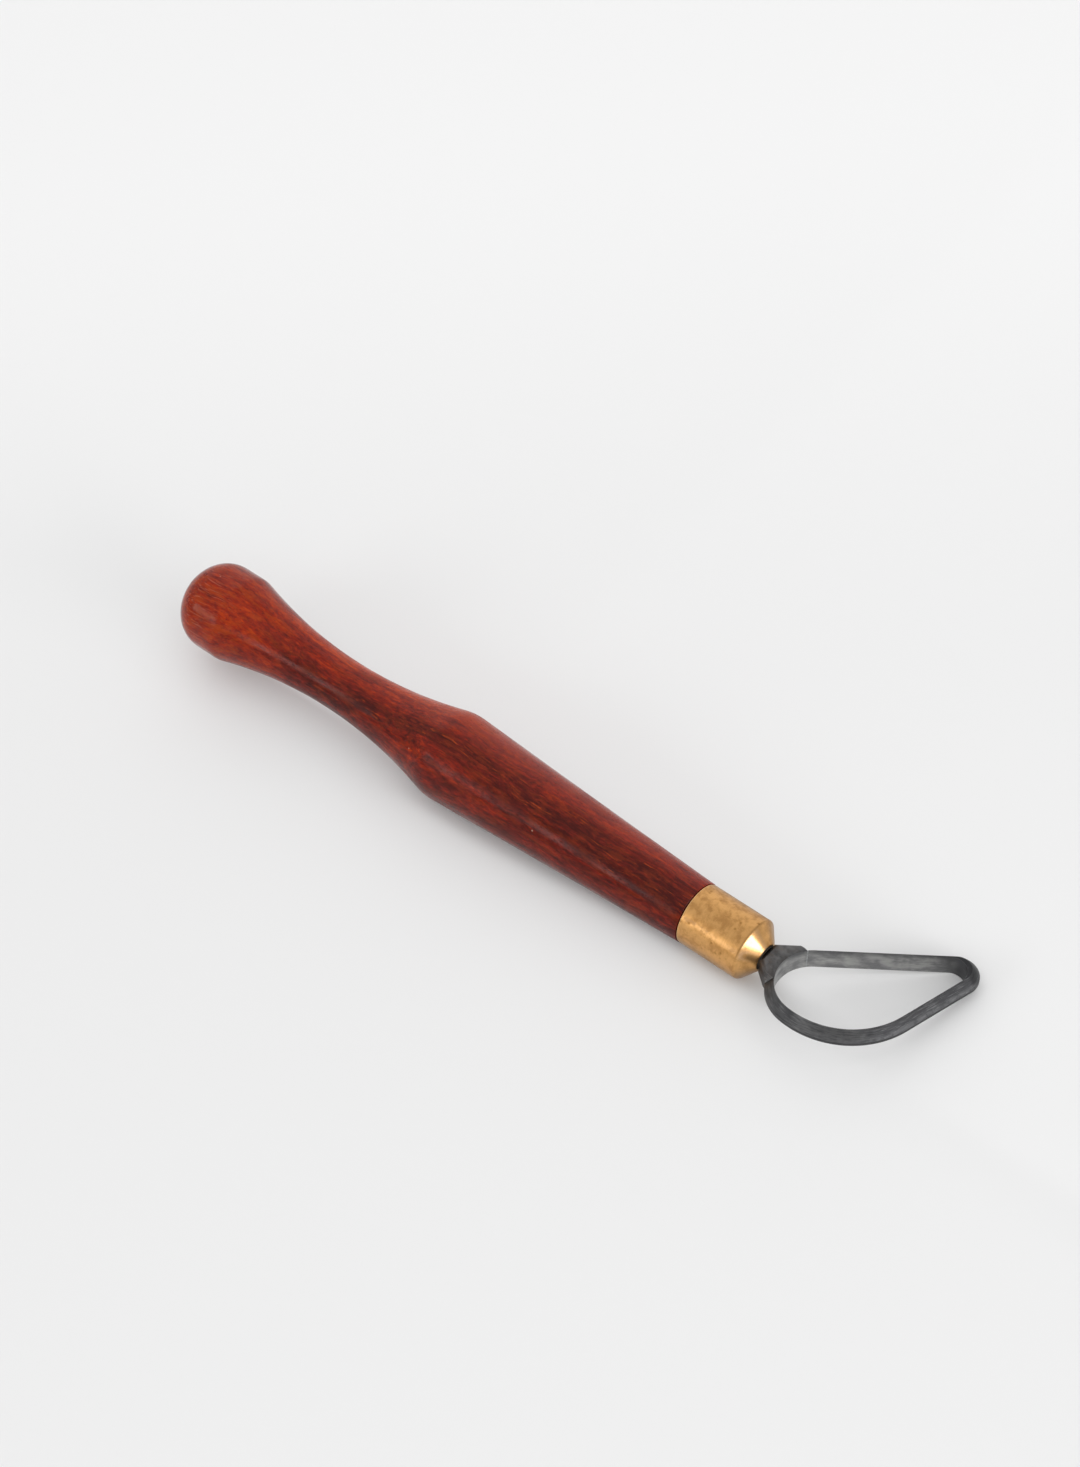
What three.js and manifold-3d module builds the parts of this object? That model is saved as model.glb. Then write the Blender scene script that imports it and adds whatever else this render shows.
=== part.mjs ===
// Trimming tool: turned hardwood handle, brass ferrule, steel shank and a ground steel loop.
// Millimetres. The tool lies along +X from the knob to the loop, with +Z up, on the plane z = 0.
// The finished tool is set so that the origin is under the middle of its box.

import * as THREE from 'three';
import { mergeVertices } from 'three/addons/utils/BufferGeometryUtils.js';
import Module from 'manifold-3d';

const wasm = await Module();
wasm.setup();

const degrees = Math.PI / 180;

// Handle: knob
const knobRadius = 12.1;
const knobCapLength = 9.9;
const knobStraight = 6;
const shoulderRadius = 8;

// Handle: hollow waist, round ridge and long taper
const coveRadius = 133;
const waistRadius = 7.06;
const ridgeRadius = 12.05;
const ridgeRounding = 17;
const taperLength = 76.6;
const taperStart = 3.2 * degrees;

// Handle: tenon inside the ferrule, and bore for the shank
const tenonChamfer = 0.6;
const boreDepth = 46;
const drillPoint = 31 * degrees;

// Ferrule: the wood stands a little over its rim
const ferruleRadius = 8.05;
const ferruleLength = 20.7;
const ferruleWall = 0.9;
const ferruleEndWall = 1;
const woodProud = 0.1;
const noseRadius = 4;
const noseAngle = 48 * degrees;
const noseCorner = 0.6;
const rimChamfer = 0.25;

// Shank, with three grooves that key it in the adhesive
const shankRadius = 3.175;
const shankInHandle = 42;
const shankChamfer = 0.8;
const grooveCount = 3;
const grooveWidth = 1.4;
const grooveDepth = 0.35;
const groovePitch = 8;
const adhesiveWall = 0.3;

// Loop band: flat inside, bevelled above and below on the outside
const bandHeight = 6.2;
const bandThickness = 2.1;
const edgeLand = 0.15;
const ridgeLand = 1;

// Loop outline along its inner wall: heel, upper side, tip, front side and belly
const heelRadius = 9.7;
const heelSideShift = -0.6;
const upperSideAngle = 37.1 * degrees;
const tipRadius = 3.9;
const tipOuterRadius = 5.45;
const frontSideAngle = 15 * degrees;
const bellyRadius = 20.35;
const bellyStart = -96.4 * degrees;

// Saddle: the unground heel of the loop, between two radial end faces
const saddleDepth = 4.8;
const saddleRearWidth = 6.2;
const saddleChamfer = 0.9;
const flareSpare = 4;
const farSeam = 138 * degrees;
const nearSeam = 210 * degrees;
const runOut = 52 * degrees;

// Joints and clearances
const turnedFit = 0.1;
const shankFit = 0.05;
const shankHoleFit = 0.15;
const noseGap = 0.3;
const brazeThickness = 0.25;
const brazeFit = 0.02;

// Facets
const turnSegments = 48;
const knobFacets = 12;
const shoulderFacets = 4;
const coveFacets = 24;
const ridgeFacets = 5;
const taperFacets = 8;
const cornerFacets = 4;
const loopArcSegments = 14;
const weldDistance = 1e-4;

// Stations along the axis, from the knob's end
const shoulderX = knobCapLength + knobStraight;
const coveCentre = new THREE.Vector2(
  coveRadius + waistRadius,
  shoulderX + reach(coveRadius + shoulderRadius, coveRadius + waistRadius - knobRadius + shoulderRadius),
);
const ridgeCentre = new THREE.Vector2(
  ridgeRadius - ridgeRounding,
  coveCentre.y + reach(coveRadius + ridgeRounding, coveCentre.x - ridgeRadius + ridgeRounding),
);
const ferruleRearX = ridgeCentre.y + taperLength;
const ferruleFrontX = ferruleRearX + ferruleLength;
const noseLength = (ferruleRadius - noseRadius) / Math.tan(noseAngle);
const ferruleCornerX = ferruleFrontX - noseLength;
const ferruleBore = ferruleRadius - ferruleWall;
const ferruleFloorX = ferruleCornerX - ferruleEndWall;
const tenonEndX = ferruleFloorX - turnedFit;
const saddleRearX = ferruleFrontX + noseGap;
const shankFrontX = saddleRearX - brazeThickness - 2 * brazeFit;
const shankRearX = tenonEndX - shankInHandle;
const boreRadius = shankRadius + shankFit + adhesiveWall + shankFit;
const boreFloorX = tenonEndX - boreDepth;
const axisHeight = Math.max(knobRadius, ridgeRadius);
const heelCentre = new THREE.Vector2(saddleRearX + saddleDepth + heelRadius, heelSideShift);

// Side of a right triangle, from its longest side and its other side
function reach(longest, other) {
  return Math.sqrt(longest * longest - other * other);
}

// Point at an angle and a distance from a centre
function polar(centre, angle, distance) {
  return new THREE.Vector2(centre.x + distance * Math.cos(angle), centre.y + distance * Math.sin(angle));
}

// Turned solid: the outline holds (radius, station) points, and the axis becomes +X
function turned(outline) {
  const solid = new THREE.LatheGeometry(outline, turnSegments);
  return solid.rotateZ(-Math.PI / 2).translate(0, 0, axisHeight);
}

function toManifold(geometry) {
  const bare = geometry.clone();
  bare.deleteAttribute('normal');
  bare.deleteAttribute('uv');
  const merged = mergeVertices(bare, weldDistance);
  return new wasm.Manifold(new wasm.Mesh({
    numProp: 3,
    vertProperties: new Float32Array(merged.attributes.position.array),
    triVerts: new Uint32Array(merged.index.array),
  }));
}

function fromManifold(solid) {
  const mesh = solid.getMesh();
  const geometry = new THREE.BufferGeometry();
  geometry.setAttribute('position', new THREE.BufferAttribute(mesh.vertProperties, 3));
  geometry.setIndex(new THREE.BufferAttribute(mesh.triVerts, 1));
  geometry.computeVertexNormals();
  return geometry;
}

const wood = new THREE.MeshStandardMaterial({ color: 0x7d3124, roughness: 0.42, metalness: 0 });
const brass = new THREE.MeshStandardMaterial({ color: 0xc0924f, roughness: 0.34, metalness: 1 });
const groundSteel = new THREE.MeshStandardMaterial({ color: 0x5e5e5f, roughness: 0.5, metalness: 0.85 });
const brightSteel = new THREE.MeshStandardMaterial({ color: 0x9a9a98, roughness: 0.35, metalness: 1 });
const braze = new THREE.MeshStandardMaterial({ color: 0x93938c, roughness: 0.4, metalness: 1 });
const adhesive = new THREE.MeshStandardMaterial({ color: 0x8a7a55, roughness: 0.6, metalness: 0 });

const tool = new THREE.Group();

function add(name, geometry, material) {
  const mesh = new THREE.Mesh(geometry, material);
  mesh.name = name;
  tool.add(mesh);
}

// Handle: one outline from the knob's end to the drill point at the bottom of the shank bore
function handleOutline() {
  const toCove = Math.asin((coveCentre.y - shoulderX) / (coveRadius + shoulderRadius));
  const toRidge = Math.asin((ridgeCentre.y - coveCentre.y) / (coveRadius + ridgeRounding));
  const frontRadius = ferruleRadius + woodProud;
  const tenonRadius = ferruleBore - turnedFit;
  const taperTop = polar(ridgeCentre, taperStart, ridgeRounding);
  const half = (ferruleRearX - turnedFit - taperTop.y) / 2;

  const knob = new THREE.EllipseCurve(0, knobCapLength, knobRadius, knobCapLength, -Math.PI / 2, 0);
  const shoulder = new THREE.EllipseCurve(
    knobRadius - shoulderRadius, shoulderX, shoulderRadius, shoulderRadius, 0, toCove);
  const cove = new THREE.EllipseCurve(
    coveCentre.x, coveCentre.y, coveRadius, coveRadius, Math.PI + toCove, Math.PI - toRidge, true);
  const ridge = new THREE.EllipseCurve(
    ridgeCentre.x, ridgeCentre.y, ridgeRounding, ridgeRounding, -toRidge, taperStart);
  const taper = new THREE.QuadraticBezierCurve(
    taperTop,
    new THREE.Vector2(taperTop.x - half * Math.tan(taperStart), taperTop.y + half),
    new THREE.Vector2(frontRadius, ferruleRearX - turnedFit),
  );
  const outline = [
    ...knob.getPoints(knobFacets),
    ...shoulder.getPoints(shoulderFacets),
    ...cove.getPoints(coveFacets).slice(1),
    ...ridge.getPoints(ridgeFacets).slice(1),
    ...taper.getPoints(taperFacets).slice(1),
    new THREE.Vector2(tenonRadius, ferruleRearX - turnedFit),
    new THREE.Vector2(tenonRadius, tenonEndX - tenonChamfer),
    new THREE.Vector2(tenonRadius - tenonChamfer, tenonEndX),
    new THREE.Vector2(boreRadius, tenonEndX),
    new THREE.Vector2(boreRadius, boreFloorX),
    new THREE.Vector2(0, boreFloorX - boreRadius * Math.tan(drillPoint)),
  ];
  outline[0].x = 0;
  return outline;
}

add('handle', turned(handleOutline()), wood);

// Ferrule: a cap with a bevelled rim, a rounded corner, a cone and a hole for the shank
function ferruleOutline() {
  const holeRadius = shankRadius + shankHoleFit;
  const path = new THREE.Path();
  path.moveTo(ferruleBore, ferruleFloorX);
  path.lineTo(ferruleBore, ferruleRearX);
  path.lineTo(ferruleRadius - rimChamfer, ferruleRearX);
  path.lineTo(ferruleRadius, ferruleRearX + rimChamfer);
  path.lineTo(ferruleRadius, ferruleCornerX - noseCorner);
  path.quadraticCurveTo(
    ferruleRadius,
    ferruleCornerX,
    ferruleRadius - noseCorner * Math.sin(noseAngle),
    ferruleCornerX + noseCorner * Math.cos(noseAngle),
  );
  path.lineTo(noseRadius, ferruleFrontX);
  path.lineTo(holeRadius, ferruleFrontX);
  path.lineTo(holeRadius, ferruleFloorX);
  path.closePath();
  return path.getPoints(cornerFacets);
}

add('ferrule', turned(ferruleOutline()), brass);

// Surface of the shank in the bore, pushed out by a clearance, from the rear end to the tenon's end
function shankSurface(out) {
  const points = [new THREE.Vector2(shankRadius - shankChamfer + out, shankRearX - out)];
  points.push(new THREE.Vector2(shankRadius + out, shankRearX + shankChamfer - out));
  for (let i = 0; i < grooveCount; i += 1) {
    const middle = shankRearX + (i + 1) * groovePitch;
    const wide = grooveWidth / 2;
    const narrow = wide - grooveDepth;
    points.push(new THREE.Vector2(shankRadius + out, middle - wide));
    points.push(new THREE.Vector2(shankRadius + out - grooveDepth, middle - narrow));
    points.push(new THREE.Vector2(shankRadius + out - grooveDepth, middle + narrow));
    points.push(new THREE.Vector2(shankRadius + out, middle + wide));
  }
  return points;
}

function shankOutline() {
  return [
    new THREE.Vector2(0, shankRearX),
    ...shankSurface(0),
    new THREE.Vector2(shankRadius, shankFrontX),
    new THREE.Vector2(0, shankFrontX),
  ];
}

add('shank', turned(shankOutline()), brightSteel);

// Adhesive: a cup that fills the bore round the shank and below its end
function adhesiveOutline() {
  const outer = boreRadius - shankFit;
  return [
    new THREE.Vector2(0, boreFloorX + shankFit),
    new THREE.Vector2(outer, boreFloorX + shankFit),
    new THREE.Vector2(outer, tenonEndX),
    new THREE.Vector2(shankRadius + shankFit, tenonEndX),
    ...shankSurface(shankFit).reverse(),
    new THREE.Vector2(0, shankRearX - shankFit),
  ];
}

add('shank_adhesive', turned(adhesiveOutline()), adhesive);

// Shank braze: the thin layer between the shank's front end and the saddle's rear face
function shankBrazeOutline() {
  const rear = shankFrontX + brazeFit;
  const front = rear + brazeThickness;
  return [
    new THREE.Vector2(0, rear),
    new THREE.Vector2(shankRadius, rear),
    new THREE.Vector2(shankRadius, front),
    new THREE.Vector2(0, front),
  ];
}

add('shank_braze', turned(shankBrazeOutline()), braze);

// Loop outline, clockwise seen from above: the inner wall, or a line parallel to it further out
const bellyCentre = polar(heelCentre, bellyStart, heelRadius - bellyRadius);
const upperNormal = Math.PI / 2 + upperSideAngle;
const frontNormal = -frontSideAngle;

// Tip centre: the point that lies one corner radius inside both straight sides
function tipCentre(out, cornerRadius) {
  const upper = new THREE.Vector2(Math.cos(upperNormal), Math.sin(upperNormal));
  const front = new THREE.Vector2(Math.cos(frontNormal), Math.sin(frontNormal));
  const fromUpper = upper.dot(heelCentre) + heelRadius + out - cornerRadius;
  const fromFront = front.dot(bellyCentre) + bellyRadius + out - cornerRadius;
  const cross = upper.x * front.y - upper.y * front.x;
  return new THREE.Vector2(
    (fromUpper * front.y - fromFront * upper.y) / cross,
    (fromFront * upper.x - fromUpper * front.x) / cross,
  );
}

function loopShape(out, cornerRadius) {
  const tip = tipCentre(out, cornerRadius);
  const shape = new THREE.Shape();
  shape.absarc(heelCentre.x, heelCentre.y, heelRadius + out, bellyStart + 2 * Math.PI, upperNormal, true);
  shape.absarc(tip.x, tip.y, cornerRadius, upperNormal, frontNormal, true);
  shape.absarc(bellyCentre.x, bellyCentre.y, bellyRadius + out, frontNormal, bellyStart, true);
  return shape;
}

// Opening of the loop, as a cutter that runs past both faces
function loopOpening() {
  const opening = new THREE.ExtrudeGeometry(loopShape(0, tipRadius), {
    depth: 2 * bandHeight,
    bevelEnabled: false,
    curveSegments: loopArcSegments,
  });
  return opening.translate(0, 0, axisHeight - bandHeight);
}

// Whole band: a plate bevelled above and below, less the opening
function wholeBand() {
  const bevel = bandThickness - edgeLand;
  const plate = new THREE.ExtrudeGeometry(loopShape(bandThickness, tipOuterRadius), {
    depth: ridgeLand,
    bevelThickness: (bandHeight - ridgeLand) / 2,
    bevelSize: bevel,
    bevelOffset: -bevel,
    bevelSegments: 1,
    curveSegments: loopArcSegments,
  });
  plate.translate(0, 0, axisHeight - ridgeLand / 2);
  return toManifold(plate).subtract(toManifold(loopOpening()));
}

// Wedge between two directions from the heel's centre, as a cutter
function sector(from, to) {
  const length = 3 * heelRadius;
  const corners = [heelCentre, polar(heelCentre, from, length), polar(heelCentre, to, length)];
  const wedge = new THREE.ExtrudeGeometry(new THREE.Shape(corners), {
    depth: 2 * bandHeight,
    bevelEnabled: false,
  });
  return toManifold(wedge.translate(0, 0, axisHeight - bandHeight));
}

// The braze is a thin slice of the band between the blade's end and the saddle's end face
const fitAngle = brazeFit / heelRadius;
const seamAngle = (brazeThickness + 2 * brazeFit) / heelRadius;
const band = wholeBand();
const blade = band.subtract(sector(farSeam - seamAngle, nearSeam + seamAngle));
const farBraze = band.intersect(sector(farSeam - seamAngle + fitAngle, farSeam - fitAngle));
const nearBraze = band.intersect(sector(nearSeam + fitAngle, nearSeam + seamAngle - fitAngle));

add('loop_blade', fromManifold(blade), groundSteel);
add('far_seam_braze', fromManifold(farBraze), braze);
add('near_seam_braze', fromManifold(nearBraze), braze);

// Saddle blank: a chamfered plate that flares from the rear face to past both seams
function saddleBlank() {
  const half = saddleRearWidth / 2;
  const outer = heelRadius + bandThickness;
  const rearFar = new THREE.Vector2(saddleRearX, half);
  const rearNear = new THREE.Vector2(saddleRearX, -half);
  const farCorner = polar(heelCentre, farSeam, outer);
  const nearCorner = polar(heelCentre, nearSeam, outer);
  const farEnd = farCorner.clone().add(farCorner.clone().sub(rearFar).setLength(flareSpare));
  const nearEnd = nearCorner.clone().add(nearCorner.clone().sub(rearNear).setLength(flareSpare));
  const plate = new THREE.ExtrudeGeometry(new THREE.Shape([rearNear, nearEnd, farEnd, rearFar]), {
    depth: bandHeight - 2 * saddleChamfer,
    bevelThickness: saddleChamfer,
    bevelSize: saddleChamfer,
    bevelOffset: -saddleChamfer,
    bevelSegments: 1,
  });
  return plate.translate(0, 0, axisHeight - bandHeight / 2 + saddleChamfer);
}

// Run-out: the bevel's plane leaves the saddle at a slant, where the grinding of the blade stops
function runOutCutter(seam, intoSaddle, up) {
  const size = 2 * bandHeight;
  const slope = Math.atan2((bandHeight - ridgeLand) / 2, bandThickness - edgeLand);
  const radial = new THREE.Vector3(Math.cos(seam), Math.sin(seam), 0);
  const along = new THREE.Vector3(-Math.sin(seam), Math.cos(seam), 0).multiplyScalar(intoSaddle);
  const line = along.clone().multiplyScalar(Math.cos(runOut)).addScaledVector(radial, Math.sin(runOut));
  const outward = radial.clone().multiplyScalar(Math.cos(runOut)).addScaledVector(along, -Math.sin(runOut));
  const normal = outward.clone().multiplyScalar(Math.sin(slope)).setZ(up * Math.cos(slope));
  const down = new THREE.Vector3().crossVectors(normal, line);
  const start = polar(heelCentre, seam, heelRadius + edgeLand);
  const centre = new THREE.Vector3(start.x, start.y, axisHeight + up * bandHeight / 2);
  centre.addScaledVector(normal, size / 2);
  const place = new THREE.Matrix4().makeBasis(line, down, normal).setPosition(centre);
  return new THREE.BoxGeometry(size, size, size).applyMatrix4(place);
}

function saddle() {
  let solid = toManifold(saddleBlank()).intersect(sector(farSeam, nearSeam));
  solid = solid.subtract(toManifold(loopOpening()));
  for (const up of [1, -1]) {
    solid = solid.subtract(toManifold(runOutCutter(farSeam, 1, up)));
    solid = solid.subtract(toManifold(runOutCutter(nearSeam, -1, up)));
  }
  return fromManifold(solid);
}

add('saddle', saddle(), groundSteel);

// Origin under the middle of the tool's box
const box = new THREE.Box3().setFromObject(tool);
const middle = box.getCenter(new THREE.Vector3());
tool.position.set(-middle.x, -middle.y, -box.min.z);

export default tool;
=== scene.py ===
# %% [markdown]
# # A loop trimming tool on a pale table
#
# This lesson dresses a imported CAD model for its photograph. The tool is a potter's trimming tool:
# a turned hardwood handle, a brass ferrule, and a bevelled steel loop on a flared saddle. Blender
# works in metres, so lengths are written in millimetres and multiplied by `mm`.

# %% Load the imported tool
import math

import bmesh
import bpy
from mathutils import Matrix, Vector


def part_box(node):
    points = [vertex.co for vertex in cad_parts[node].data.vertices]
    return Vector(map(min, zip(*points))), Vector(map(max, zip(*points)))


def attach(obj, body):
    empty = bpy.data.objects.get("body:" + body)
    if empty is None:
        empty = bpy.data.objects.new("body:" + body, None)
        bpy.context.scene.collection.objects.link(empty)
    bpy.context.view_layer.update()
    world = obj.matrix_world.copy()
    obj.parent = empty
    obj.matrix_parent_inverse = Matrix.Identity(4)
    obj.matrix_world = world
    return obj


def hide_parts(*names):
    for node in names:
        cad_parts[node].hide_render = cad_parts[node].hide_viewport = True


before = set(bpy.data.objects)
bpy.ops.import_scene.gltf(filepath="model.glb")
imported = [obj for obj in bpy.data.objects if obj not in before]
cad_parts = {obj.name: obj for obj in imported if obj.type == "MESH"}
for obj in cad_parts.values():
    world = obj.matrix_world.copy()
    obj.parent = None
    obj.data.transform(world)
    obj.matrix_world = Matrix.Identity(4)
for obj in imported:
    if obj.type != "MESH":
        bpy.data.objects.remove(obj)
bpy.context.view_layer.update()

mm = 0.001
print("CAD nodes:", sorted(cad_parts))

# %% [markdown]
# ## Where the tool lies
#
# A turned piece is easiest to think of as stations along its axis and a radius at each station.
# The handle's box gives the knob's end and the height and side of the axis, so nothing is guessed.

# %% Axis and stations
handle_low, handle_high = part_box("handle")
knob_end = handle_low.x
axis_y = (handle_low.y + handle_high.y) / 2
axis_z = (handle_low.z + handle_high.z) / 2
ferrule_low, ferrule_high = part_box("ferrule")
saddle_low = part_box("saddle")[0]
ferrule_rear = ferrule_low.x - knob_end
ferrule_front = ferrule_high.x - knob_end
saddle_rear = saddle_low.x - knob_end


def on_profile(station, radius):
    """Point above the axis, at a station measured from the knob's end"""
    return Vector((knob_end + station, axis_y, axis_z + radius))


print(f"ferrule from station {ferrule_rear / mm:.2f} to {ferrule_front / mm:.2f} mm")

# %% [markdown]
# ## Drawing a profile like a turner's template
#
# A turner cuts a handle to a template made of a few straight lines and arcs that run into each other.
# The same template is drawn here with one vertex as the pen: extruding it draws a line,
# and spinning it about a centre draws an arc. The arcs meet smoothly because their centres lie in line.

# %% Pen strokes
def draw_line(shape, pen, point):
    """Straight stroke from the pen to a point"""
    drawn = bmesh.ops.extrude_vert_indiv(shape, verts=[pen])
    pen = drawn["verts"][0]
    pen.co = point
    return pen


def draw_lines(shape, pen, corners):
    """Straight strokes through a row of stations and radii"""
    for station, radius in corners:
        pen = draw_line(shape, pen, on_profile(station, radius))
    return pen


def draw_arc(shape, pen, centre, axis, angle, facets):
    """Stroke that swings the pen about a centre"""
    drawn = bmesh.ops.spin(shape, geom=[pen], cent=centre, axis=axis, angle=angle, steps=facets)
    return [part for part in drawn["geom_last"] if isinstance(part, bmesh.types.BMVert)][0]


across = Vector((0, 1, 0))
along = Vector((1, 0, 0))
upright = Vector((0, 0, 1))
print("the pen swings about", tuple(across), "on a profile")

# %% [markdown]
# ## From a profile to a turned piece
#
# A full spin about the axis does what the lathe does. The ring of copies closes on itself,
# so the doubles are merged, and the faces are then turned outwards.
# Real edges are never razor sharp: a small bevel breaks each one, and its faces are marked as worn,
# so that the metal finishes can brighten them.

# %% Lathe, broken edges and keeping a piece
turn_steps = 144
merge_distance = 0.002 * mm
sharp_turn = math.radians(28)


def close_up(shape):
    """Merge doubles and point the faces outwards"""
    bmesh.ops.remove_doubles(shape, verts=shape.verts[:], dist=merge_distance)
    bmesh.ops.recalc_face_normals(shape, faces=shape.faces[:])


def turn_on_lathe(shape):
    """Spin a profile once round the tool's axis"""
    bmesh.ops.remove_doubles(shape, verts=shape.verts[:], dist=merge_distance)
    profile = shape.verts[:] + shape.edges[:]
    bmesh.ops.spin(
        shape, geom=profile, cent=on_profile(0, 0), axis=along, angle=2 * math.pi, steps=turn_steps,
        use_merge=True)
    close_up(shape)


def break_edges(shape, width, segments):
    """Bevel every sharp edge by a width, and mark the new faces as worn"""
    worn = shape.faces.layers.float.new("worn_edge")
    sharp = [e for e in shape.edges if e.is_manifold and e.calc_face_angle() > sharp_turn]
    broken = bmesh.ops.bevel(
        shape, geom=sharp, offset=width, offset_type="OFFSET", affect="EDGES", segments=segments,
        profile=0.5, material=-1, clamp_overlap=True)
    for face in broken["faces"]:
        face[worn] = 1.0


def put_in_scene(name, data):
    """A new object in the scene"""
    item = bpy.data.objects.new(name, data)
    bpy.context.scene.collection.objects.link(item)
    return item


def new_mesh(name, shape):
    """A mesh made from a finished shape"""
    mesh = bpy.data.meshes.new(name)
    shape.to_mesh(mesh)
    shape.free()
    return mesh


def keep_piece(shape, name, node):
    """Make a finished piece that rides with the tool and stands for its CAD node"""
    mesh = new_mesh(name, shape)
    mesh.shade_smooth()
    mesh.set_sharp_from_angle(angle=sharp_turn)
    piece = put_in_scene(name, mesh)
    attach(piece, "root")
    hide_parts(node)
    print(f"{name}: {len(mesh.vertices)} vertices, {len(mesh.polygons)} faces")
    return piece


# %% [markdown]
# ## Handle
#
# The handle is one piece of hardwood: a domed knob for the palm, a long hollow waist, a soft ridge
# where the fingers rest, and a taper down to the ferrule. Inside the ferrule it carries on as a tenon,
# bored for the steel shank. The dome is a quarter circle squeezed along the axis, the other curves
# are plain arcs, and even the taper is one very large arc, as a long chisel stroke leaves it.

# %% Handle profile
knob_radius = 12.1 * mm
knob_cap_length = 9.9 * mm
knob_straight = 6 * mm
shoulder_radius = 8 * mm
cove_radius = 133 * mm
waist_radius = 7.06 * mm
ridge_radius = 12.05 * mm
ridge_rounding = 17 * mm
taper_length = 76.6 * mm
taper_start = math.radians(3.2)
wood_proud = 0.1 * mm
ferrule_radius = 8.05 * mm
ferrule_bore = 7.15 * mm
turned_fit = 0.1 * mm
tenon_chamfer = 0.6 * mm
bore_radius = 3.575 * mm
bore_depth = 46 * mm
drill_point = math.radians(31)
nose_radius = 4 * mm
nose_angle = math.radians(48)
ferrule_end_wall = 1 * mm
dome_facets = 24
shoulder_facets = 10
cove_facets = 56
ridge_facets = 16
taper_facets = 24

shoulder_station = knob_cap_length + knob_straight
cove_height = cove_radius + waist_radius
to_cove = math.acos((cove_height - knob_radius + shoulder_radius) / (cove_radius + shoulder_radius))
cove_station = shoulder_station + (cove_radius + shoulder_radius) * math.sin(to_cove)
ridge_height = ridge_radius - ridge_rounding
to_ridge = math.acos((cove_height - ridge_height) / (cove_radius + ridge_rounding))
ridge_station = cove_station + (cove_radius + ridge_rounding) * math.sin(to_ridge)
nose_corner_station = ferrule_front - (ferrule_radius - nose_radius) / math.tan(nose_angle)
tenon_end = nose_corner_station - ferrule_end_wall - turned_fit

handle = bmesh.new()
pen = handle.verts.new(on_profile(knob_cap_length - knob_radius, 0))
cap_centre = on_profile(knob_cap_length, 0)
pen = draw_arc(handle, pen, cap_centre, across, math.pi / 2, dome_facets)
squeeze = (knob_cap_length / knob_radius, 1, 1)
bmesh.ops.scale(handle, vec=squeeze, space=Matrix.Translation(-cap_centre), verts=handle.verts[:])
pen = draw_line(handle, pen, on_profile(shoulder_station, knob_radius))
shoulder_centre = on_profile(shoulder_station, knob_radius - shoulder_radius)
pen = draw_arc(handle, pen, shoulder_centre, across, to_cove, shoulder_facets)
cove_centre = on_profile(cove_station, cove_height)
pen = draw_arc(handle, pen, cove_centre, across, -to_cove - to_ridge, cove_facets)
ridge_centre = on_profile(ridge_station, ridge_height)
pen = draw_arc(handle, pen, ridge_centre, across, to_ridge + taper_start, ridge_facets)

taper_end = on_profile(ferrule_rear - turned_fit, ferrule_radius + wood_proud)
chord = taper_end - pen.co
taper_bend = taper_start - math.atan2(-chord.z, chord.x)
taper_radius = chord.length / (2 * math.sin(taper_bend))
to_centre = Vector((math.sin(taper_start), 0, math.cos(taper_start)))
taper_centre = pen.co + to_centre * taper_radius
pen = draw_arc(handle, pen, taper_centre, across, -2 * taper_bend, taper_facets)
print(f"waist at station {cove_station / mm:.1f}, ridge at {ridge_station / mm:.1f},",
      f"taper arc {taper_radius / mm:.0f} mm, end off by {(pen.co - taper_end).length / mm:.4f} mm")

# %% Handle tenon, bore and lathe
tenon_radius = ferrule_bore - turned_fit
bore_floor = tenon_end - bore_depth
tenon_and_bore = (
    (ferrule_rear - turned_fit, tenon_radius),
    (tenon_end - tenon_chamfer, tenon_radius),
    (tenon_end, tenon_radius - tenon_chamfer),
    (tenon_end, bore_radius),
    (bore_floor, bore_radius),
    (bore_floor - bore_radius * math.tan(drill_point), 0),
)
draw_lines(handle, pen, tenon_and_bore)
turn_on_lathe(handle)
break_edges(handle, width=0.15 * mm, segments=3)
turned_handle = keep_piece(handle, "turned_handle", "handle")

# %% [markdown]
# ## Ferrule
#
# The ferrule is a cup turned from brass bar: a plain cylinder, a cone towards the loop, and a hole
# for the shank. It keeps the wood from splitting. Its profile is a closed outline that doesn't touch
# the axis, so the same lathe makes a hollow cup of it. Handling has rounded the corner between the
# cylinder and the cone, and the cone rolls over into the flat front on a small arc. Both arcs run
# into their neighbours, so their reach along the profile follows from the angle they turn.

# %% Ferrule
rim_chamfer = 0.25 * mm
shank_hole = 3.325 * mm
nose_lip = 3.6 * mm
nose_rounding = 0.2 * mm
cone_angle = math.atan2(ferrule_radius - nose_lip, ferrule_front - nose_corner_station)
corner_rounding = 0.9 * mm
corner_facets = 8
nose_facets = 6
corner_reach = corner_rounding * math.tan(cone_angle / 2)
nose_turn = math.pi / 2 - cone_angle
nose_reach = nose_rounding * math.tan(nose_turn / 2)
floor_station = nose_corner_station - ferrule_end_wall

rear_rim = (
    (ferrule_rear, ferrule_bore),
    (ferrule_rear, ferrule_radius - rim_chamfer),
    (ferrule_rear + rim_chamfer, ferrule_radius),
    (nose_corner_station - corner_reach, ferrule_radius),
)
hole_and_floor = ((ferrule_front, shank_hole), (floor_station, shank_hole), (floor_station, ferrule_bore))

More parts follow.
